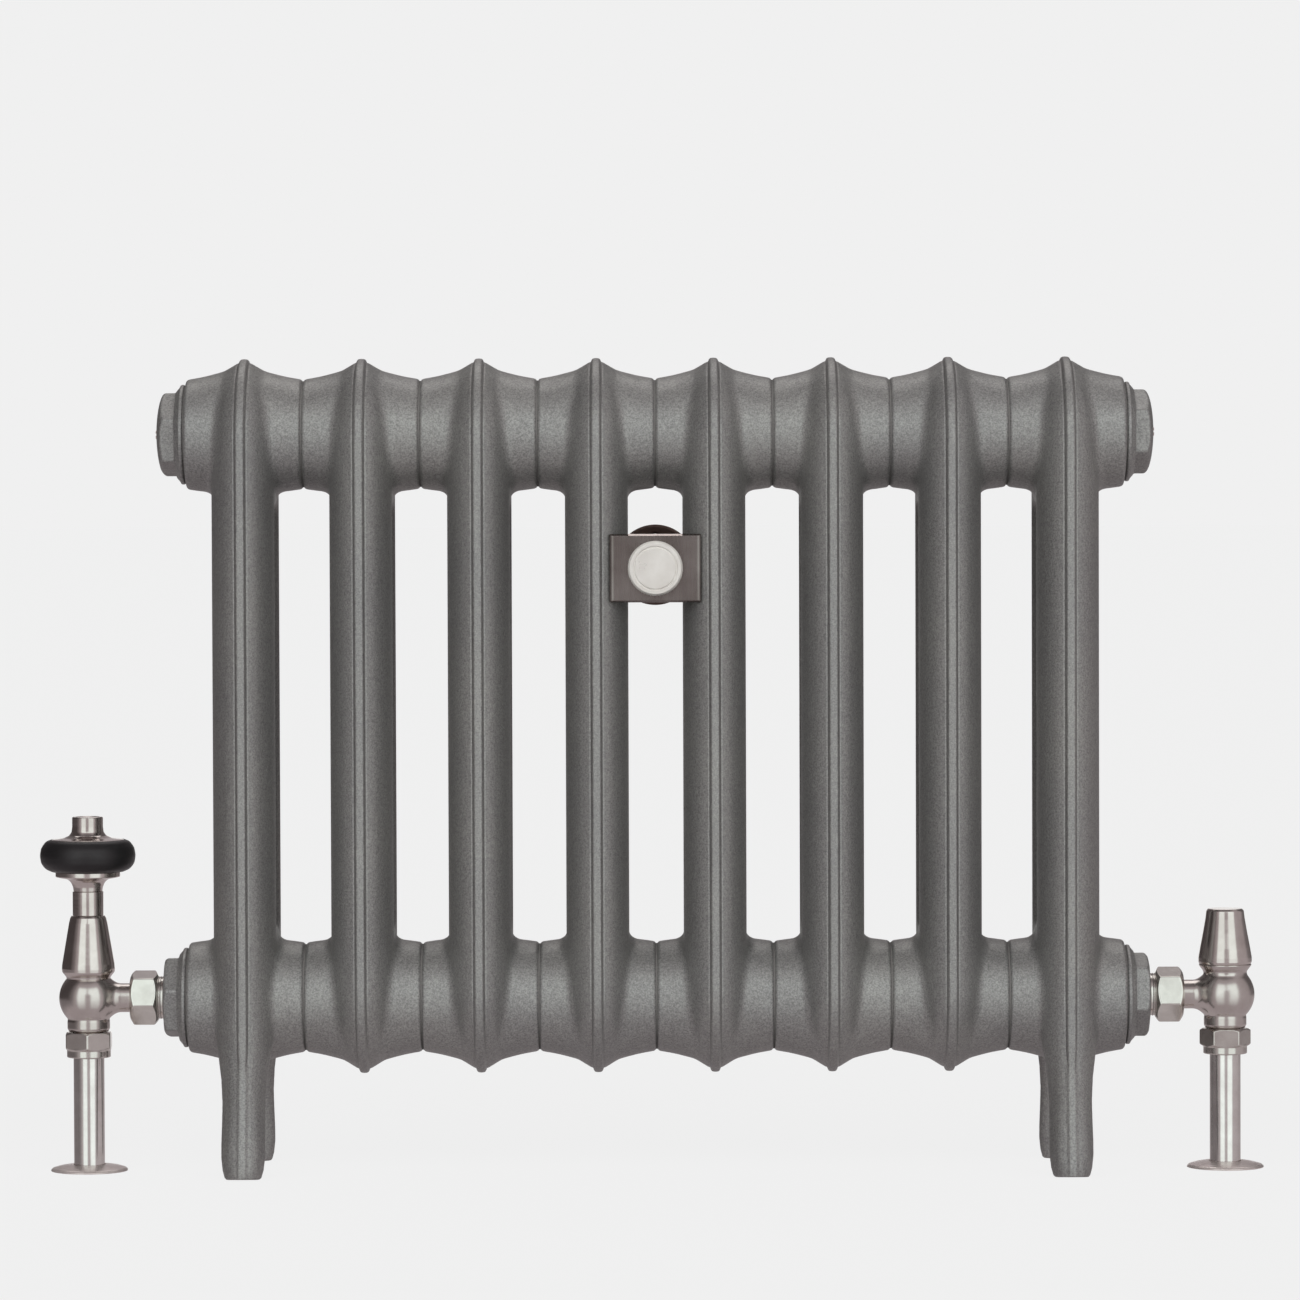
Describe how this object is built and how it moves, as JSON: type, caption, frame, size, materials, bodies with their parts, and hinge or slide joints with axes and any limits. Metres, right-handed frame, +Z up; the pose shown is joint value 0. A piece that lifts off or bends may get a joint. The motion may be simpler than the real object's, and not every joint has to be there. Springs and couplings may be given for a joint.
{
  "type": "column radiator with valves",
  "caption": "Cast-iron column radiator on cast feet, with a thermostatic angle valve, a lockshield angle valve on floor pipes, air vents and a wall stay.",
  "frame": {"origin": "on the floor, under the middle of the whole assembly's box", "axes": "+Z up, +X along the sections from the thermostatic valve's end to the lockshield's end, +Y towards the wall, so the front faces -Y"},
  "size_m": [0.6957, 0.173, 0.4613],
  "materials": {
    "iron_paint": "satin gunmetal paint over sand-cast iron",
    "nipple_iron": "plain malleable iron",
    "gasket": "matt brown jointing",
    "vent_metal": "plated brass, satin",
    "satin_nickel": "satin nickel plate over brass",
    "black_grip": "satin black moulded grip",
    "copper": "drawn copper tube",
    "brass_plain": "machined brass",
    "steel": "zinc-plated steel",
    "valve_rubber": "moulded black rubber",
    "brushed_plate": "dark nickel, brushed",
    "dark_plate": "dark bronzed steel"
  },
  "bodies": {
    "radiator": {"air_vent_left": "vent_metal", "air_vent_right": "vent_metal", "bottom_bush_left": "iron_paint", "bottom_bush_right": "iron_paint", "compression_olives": "brass_plain", "copper_pipe_left": "copper", "copper_pipe_right": "copper", "end_seals_bottom": "gasket", "end_seals_top": "gasket", "end_section_left": "iron_paint", "end_section_right": "iron_paint", "joint_gaskets_bottom": "gasket", "joint_gaskets_top": "gasket", "lockshield_compression_nut": "satin_nickel", "lockshield_headwork": "brass_plain", "lockshield_tail": "satin_nickel", "lockshield_union_nut": "satin_nickel", "lockshield_valve_body": "satin_nickel", "nipples_bottom": "nipple_iron", "nipples_top": "nipple_iron", "pipe_sleeve_left": "satin_nickel", "pipe_sleeve_right": "satin_nickel", "section_2": "iron_paint", "section_3": "iron_paint", "section_4": "iron_paint", "section_5": "iron_paint", "section_6": "iron_paint", "section_7": "iron_paint", "stay_clamp_plate": "brushed_plate", "stay_rod": "steel", "stay_wall_flange": "dark_plate", "top_plug_left": "iron_paint", "top_plug_right": "iron_paint", "trv_bonnet": "satin_nickel", "trv_compression_nut": "satin_nickel", "trv_guide_sleeve": "satin_nickel", "trv_insert": "brass_plain", "trv_return_spring": "steel", "trv_tail": "satin_nickel", "trv_union_nut": "satin_nickel", "trv_valve_body": "satin_nickel"},
    "trv_head": {"trv_head_hub": "satin_nickel", "trv_grip_ring": "black_grip", "trv_sensor_capsule": "brass_plain", "trv_finial": "satin_nickel"},
    "trv_stem": {"trv_pin": "steel", "trv_valve_disc": "valve_rubber"},
    "lockshield_cap": {"lockshield_cap": "satin_nickel"},
    "lockshield_spindle": {"lockshield_spindle": "brass_plain"},
    "lockshield_plug": {"lockshield_plug": "brass_plain"},
    "bleed_screw_left": {"bleed_screw_left": "vent_metal"},
    "bleed_screw_right": {"bleed_screw_right": "vent_metal"},
    "floor_rosette_left": {"floor_rosette_left": "satin_nickel"},
    "floor_rosette_right": {"floor_rosette_right": "satin_nickel"},
    "stay_knob": {"stay_knob": "satin_nickel"}
  },
  "joints": [
    {"name": "trv_head_turn", "type": "hinge", "parent": "radiator", "child": "trv_head", "pos_m": [-0.32077, -0.02555, 0.16], "axis": [0, 0, 1], "range_deg": [-150, 150]},
    {"name": "trv_pin_slide", "type": "slide", "parent": "radiator", "child": "trv_stem", "axis": [0, 0, 1], "range_m": [-0.0012, 0.0012], "deforming": ["trv_return_spring"]},
    {"name": "lockshield_cap_lift", "type": "slide", "parent": "radiator", "child": "lockshield_cap", "axis": [0, 0, 1], "range_m": [0, 0.04]},
    {"name": "lockshield_spindle_turn", "type": "hinge", "parent": "radiator", "child": "lockshield_spindle", "pos_m": [0.32603, -0.02555, 0.12], "axis": [0, 0, 1], "range_deg": [0, 1080]},
    {"name": "lockshield_plug_slide", "type": "slide", "parent": "radiator", "child": "lockshield_plug", "axis": [0, 0, 1], "range_m": [0, 0.004]},
    {"name": "bleed_screw_left_turn", "type": "hinge", "parent": "radiator", "child": "bleed_screw_left", "pos_m": [-0.27937, -0.02555, 0.4186], "axis": [-1, 0, 0], "range_deg": [0, 360]},
    {"name": "bleed_screw_right_turn", "type": "hinge", "parent": "radiator", "child": "bleed_screw_right", "pos_m": [0.28463, -0.02555, 0.4186], "axis": [1, 0, 0], "range_deg": [0, 360]},
    {"name": "floor_rosette_left_lift", "type": "slide", "parent": "radiator", "child": "floor_rosette_left", "axis": [0, 0, 1], "range_m": [0, 0.055]},
    {"name": "floor_rosette_right_lift", "type": "slide", "parent": "radiator", "child": "floor_rosette_right", "axis": [0, 0, 1], "range_m": [0, 0.055]},
    {"name": "stay_knob_turn", "type": "hinge", "parent": "radiator", "child": "stay_knob", "pos_m": [0.00263, -0.07555, 0.3425], "axis": [0, -1, 0], "continuous": true}
  ],
  "couplings": [
    {"joint": "trv_head_turn", "follows": "trv_pin_slide", "rad_per_m": 2181.7},
    {"joint": "lockshield_spindle_turn", "follows": "lockshield_plug_slide", "rad_per_m": 4712.4}
  ]
}
